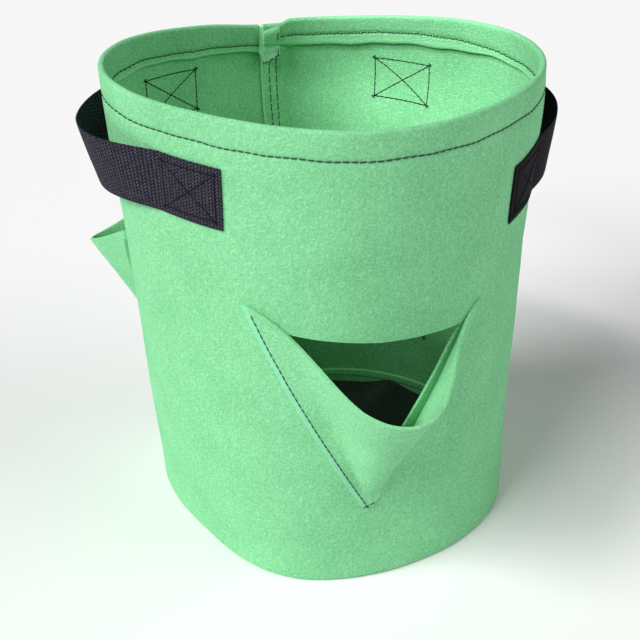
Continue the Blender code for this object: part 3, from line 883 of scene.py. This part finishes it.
def flapRow(shape, through, sides):
    # down a side and across the tip, inside the raw edge
    lines = []
    inset = pocket["rowInset"]
    for side, way in sides:
        cornerX, cornerY = shape[side]
        tipX, tipY = shape["tip"]
        slope = abs(cornerX - tipX) / (cornerY - tipY)
        sideways = way * inset * math.hypot(1, slope)
        foot = tipY + (inset * math.hypot(1, slope) - pocket["tipHalfWidth"]) / slope
        share = (foot - tipY) / (cornerY - tipY)
        start = (tipX, foot, through)
        end = (blendOf(tipX, cornerX, 0.95) + sideways, blendOf(tipY, cornerY, 0.95), through)
        lines.append(straight(start, end))
        if way == 1:
            lines.append(straight((tipX - 0.001, foot + 0.0005, through),
                                  (tipX + 0.0045, foot + 0.0025, through), 0.002))
    return lines


def boxLines(shape, end, through):
    front, rear = strapEnds(shape)
    if end == "front":
        first = front + strap["boxMargin"]
        last = first + strap["boxLength"]
    else:
        last = rear - strap["boxMargin"] * 0.6
        first = last - shape["rearBox"]
    inset = (strap["width"] - strap["boxHeight"]) / 2

    def at(arc, low):
        height = strapTop(shape, arc) - (strap["width"] - inset if low else inset)
        return Vector((shape["side"] * arc, height, through))

    a, b, c, d = at(first, False), at(last, False), at(last, True), at(first, True)
    return [straight(*pair) for pair in ((a, b), (b, c), (c, d), (d, a), (a, c), (b, d))]


# base: a black felt disc inside the wall's foot, its rim turned up

base = {
    "felt": 0.003,
    "rim": 0.007,
    "rimWidth": 0.010,
    "clearance": 0.0006,
    "humpDeg": 137,
    "humpWidthDeg": 7,
    "humpHeight": 0.013,
    "wrinkle": 0.0006,
    "rings": 26,
    "columns": 180,
    "stitchHeight": 0.017,
    "flat": (0.335, 0.335),
    "area": 0.0876,
}


def footOutline(arc, out):
    # the wrap tree's rule at the floor, without its dents
    turn = arc / bagRadius
    radius, slide = bag["footRadius"] + out, 0.0
    for count, size, peak in bag["footWaves"]:
        phase = count * (turn - math.radians(peak))
        radius += size * math.cos(phase)
        slide += size / (count * bagRadius) * math.sin(phase)
    for angle, height, size, width, tallness in bag["bulges"]:
        away = (math.cos(turn - math.radians(angle)) - 1) / math.radians(width) ** 2
        radius += size * math.exp(away - (height / tallness) ** 2)
    return radius * math.sin(turn - slide), -radius * math.cos(turn - slide)


def makeBase():
    inward = -2 * wall["felt"] - wall["layerGap"] - base["clearance"] - bag["dentDepth"]
    rings, columns = base["rings"], base["columns"]
    points, faces = [(0.0, 0.0, base["felt"])], []
    for ring in range(1, rings + 1):
        share = (ring / rings) ** 0.8
        for column in range(columns):
            arc = 2 * seamArc * column / columns
            x, y = footOutline(arc, inward)
            near = (1 - share) * bag["footRadius"]
            up = base["rim"] * (1 - smooth(0.0, base["rimWidth"], near))
            away = (math.degrees(arc / bagRadius) - base["humpDeg"] + 180) % 360 - 180
            hump = math.exp(-(away / base["humpWidthDeg"]) ** 2)
            hump *= math.exp(-((near - 0.02) / 0.03) ** 2)
            wrinkle = base["wrinkle"] * math.sin(x * 61 + 2 * math.sin(y * 43)) * share
            points.append((x * share, y * share, base["felt"] + up + base["humpHeight"] * hump
                           + wrinkle + base["wrinkle"]))
    for column in range(columns):
        after = (column + 1) % columns
        faces.append((0, 1 + column, 1 + after))
        for ring in range(rings - 1):
            a = 1 + ring * columns
            faces.append((a + column, a + columns + column, a + columns + after, a + after))
    piece = newPiece("base_felt_disc", points, [], faces)
    thicken(piece, base["felt"], -1.0)
    makePlain(piece)
    piece.data.materials.clear()
    piece.data.materials.append(baseFelt)
    faceOutwards(piece)
    return piece


made = {"wall": makeWall([windowCorners(shape) for shape in pockets.values()])}
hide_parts("wall_panel")
print("wall sewn up")
made["base"] = makeBase()
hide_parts("base_panel")
for side, shape in pockets.items():
    made[side + "Flap"] = makeFlap(side + "_flap_felt", shape)
    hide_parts(side + "_pocket_flap")
    outside = wall["felt"] + pocket["liftOff"]
    seams = (("left", 1), ("right", -1))  # the right side's row is hidden outside, under its fold
    lines = flapRow(shape, outside, seams[:1]) + flapRow(shape, -wall["felt"], seams)
    made[side + "FlapRow"] = makeStitches(side + "_flap_stitches", lines, "flap", greenThread, 11)
    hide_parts(side + "_pocket_stitch")
print("pockets sewn on")

outerEnd = seamArc - wall["lapFar"]
made["hemRow"] = makeStitches("hem_stitches_outside", [drawn(hemOutside, lapStart + 0.003,
                              outerEnd - 0.004)], "hem", greenThread, 3)
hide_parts("hem_stitch_outer")
insideRows = [drawn(hemInside, -seamArc + wall["lapNear"] + 0.004, outerEnd - 0.003),
              drawn(underLip, lapStart + 0.004, -seamArc + wall["lapNear"] - 0.001)]
made["hemRowInside"] = makeStitches("hem_stitches_inside", insideRows, "hemInside", greenThread, 5)
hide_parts("hem_stitch_inner")
for side, shift in seamRow["shifts"].items():
    name = "seam_stitches_" + side
    made[name] = makeStitches(name, seamLines(shift), "seam", greenThread, 7)
    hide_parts("seam_stitch_" + side)
baseRow = [drawn(lambda arc: Vector((arc, base["stitchHeight"], insideOut(arc))),
                 lapStart + 0.004, outerEnd - 0.004)]
made["baseRow"] = makeStitches("base_stitches", baseRow, "base", greenThread, 9)
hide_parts("base_stitch")
print("rows stitched")

handles = {}
for side, shape in straps.items():
    handles[side] = makeStrap(side + "_handle_webbing", shape)
    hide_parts(side + "_handle_front_end", side + "_handle_rear_end",
                side + "_handle_span")
    onStrap = strap["liftOff"] + strap["thickness"]
    for end in ("front", "rear"):
        threads = (("stitches", "stitch", onStrap), ("bobbin", "bobbin", -wall["felt"]))
        for word, node, through in threads:
            key = f"{side}_{end}_box_{word}"
            made[key] = makeStitches(key, boxLines(shape, end, through), "box", blackThread, 13)
            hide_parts(f"{side}_handle_{end}_{node}")
print("handles sewn on")

for piece in made.values():
    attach(piece, "bag")
for side, piece in handles.items():
    low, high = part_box(side + "_handle_span")
    inner = low.x if side == "right" else high.x
    outer = high.x if side == "right" else low.x
    end = Vector((blendOf(inner, outer, strap["blendShare"]), *strap["blendLevel"]))
    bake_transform(piece)

slots = {"wall": "felt", "base": "base_felt"}
for key, piece in made.items():
    if key.endswith("Flap"):
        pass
    elif key in slots:
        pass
    elif "_box_" in key:
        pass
    else:
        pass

stageSet = {
    "floorSize": 12.0,
    "floorColor": (0.92, 0.92, 0.92, 1),
    "worldColor": (1.0, 1.0, 1.0, 1),
    "worldStrength": 0.11,
    "backdropStrength": 0.80,
    "lights": (  # name, degrees round from the front, degrees up, strength, softness in degrees
        ("keyLight", -60, 38, 1.58, 24),
        ("sideLight", -88, 42, 1.98, 24),
        ("fillLight", 60, 35, 0.90, 40),
    ),
    "insideLight": {"place": (-0.12, -0.10, 0.95), "aim": (0.125, 0.105, 0.41), "power": 9.5,
                    "coneDeg": 25, "size": 0.03, "softEdge": 0.8},
}


def makeFloor():
    half = stageSet["floorSize"] / 2
    corners = [(-half, -half, 0), (half, -half, 0), (half, half, 0), (-half, half, 0)]
    floor = newPiece("floor", corners, [], [(0, 1, 2, 3)])
    floor.location.z = -0.0004
    paint = bpy.data.materials.new("paleFloor")
    paint.use_nodes = True
    shader = paint.node_tree.nodes["Principled BSDF"]
    shader.inputs["Base Color"].default_value = stageSet["floorColor"]
    shader.inputs["Roughness"].default_value = 1.0
    shader.inputs["Specular IOR Level"].default_value = 0.0
    floor.data.materials.append(paint)


def addLamp(data, place, aim):
    lamp = bpy.data.objects.new(data.name, data)
    lamp.location = place
    lamp.rotation_euler = (Vector(aim) - lamp.location).to_track_quat("-Z", "Y").to_euler()
    bpy.context.scene.collection.objects.link(lamp)


def makeLights():
    world = bpy.data.worlds.new("studio")
    world.use_nodes = True
    sky = world.node_tree.nodes["Background"]
    sky.inputs["Color"].default_value = stageSet["worldColor"]
    seen = addNode(world.node_tree, "ShaderNodeLightPath").outputs["Is Camera Ray"]
    glow = addNode(world.node_tree, "ShaderNodeMapRange", None, n0=seen,
                   n3=stageSet["worldStrength"], n4=stageSet["backdropStrength"])
    world.node_tree.links.new(glow.outputs[0], sky.inputs["Strength"])
    bpy.context.scene.world = world
    bpy.context.scene.view_settings.view_transform = "Standard"
    for name, around, up, strength, softness in stageSet["lights"]:
        data = bpy.data.lights.new(name, "SUN")
        data.energy = strength
        data.angle = math.radians(softness)
        turn, rise = math.radians(around), math.radians(up)
        toward = Vector((math.sin(turn) * math.cos(rise), -math.cos(turn) * math.cos(rise),
                         math.sin(rise)))
        addLamp(data, 2.5 * toward, (0, 0, 0))
    inside = stageSet["insideLight"]
    data = bpy.data.lights.new("insideLight", "SPOT")
    data.energy, data.shadow_soft_size = inside["power"], inside["size"]
    data.spot_blend = inside["softEdge"]
    data.spot_size = math.radians(inside["coneDeg"])
    addLamp(data, inside["place"], inside["aim"])


cameraSet = {
    "distance": 1.001,
    "height": 0.791,
    "aroundDeg": -17.5,
    "pitchDeg": 31.17,
    "yawDeg": -0.55,
    "rollDeg": -0.12,
    "lens": 66.77,
}


def makeCamera():
    data = bpy.data.cameras.new("camera")
    data.lens = cameraSet["lens"]
    data.sensor_width = 36.0
    camera = bpy.data.objects.new("camera", data)
    bpy.context.scene.collection.objects.link(camera)
    pitch, yaw, roll = (math.radians(cameraSet[k]) for k in ("pitchDeg", "yawDeg", "rollDeg"))
    level = math.cos(pitch)
    ahead = Vector((math.sin(yaw) * level, math.cos(yaw) * level, -math.sin(pitch)))
    right = Vector((math.cos(yaw), -math.sin(yaw), 0))
    up = right.cross(ahead)
    tilted = math.cos(roll) * right + math.sin(roll) * up
    upright = -math.sin(roll) * right + math.cos(roll) * up
    pose = Matrix((tilted, upright, -ahead)).transposed().to_4x4()
    pose.translation = Vector((0, -cameraSet["distance"], cameraSet["height"]))
    camera.matrix_world = Matrix.Rotation(math.radians(cameraSet["aroundDeg"]), 4, "Z") @ pose
    bpy.context.scene.camera = camera


makeFloor()
makeLights()
makeCamera()
print("stage set")
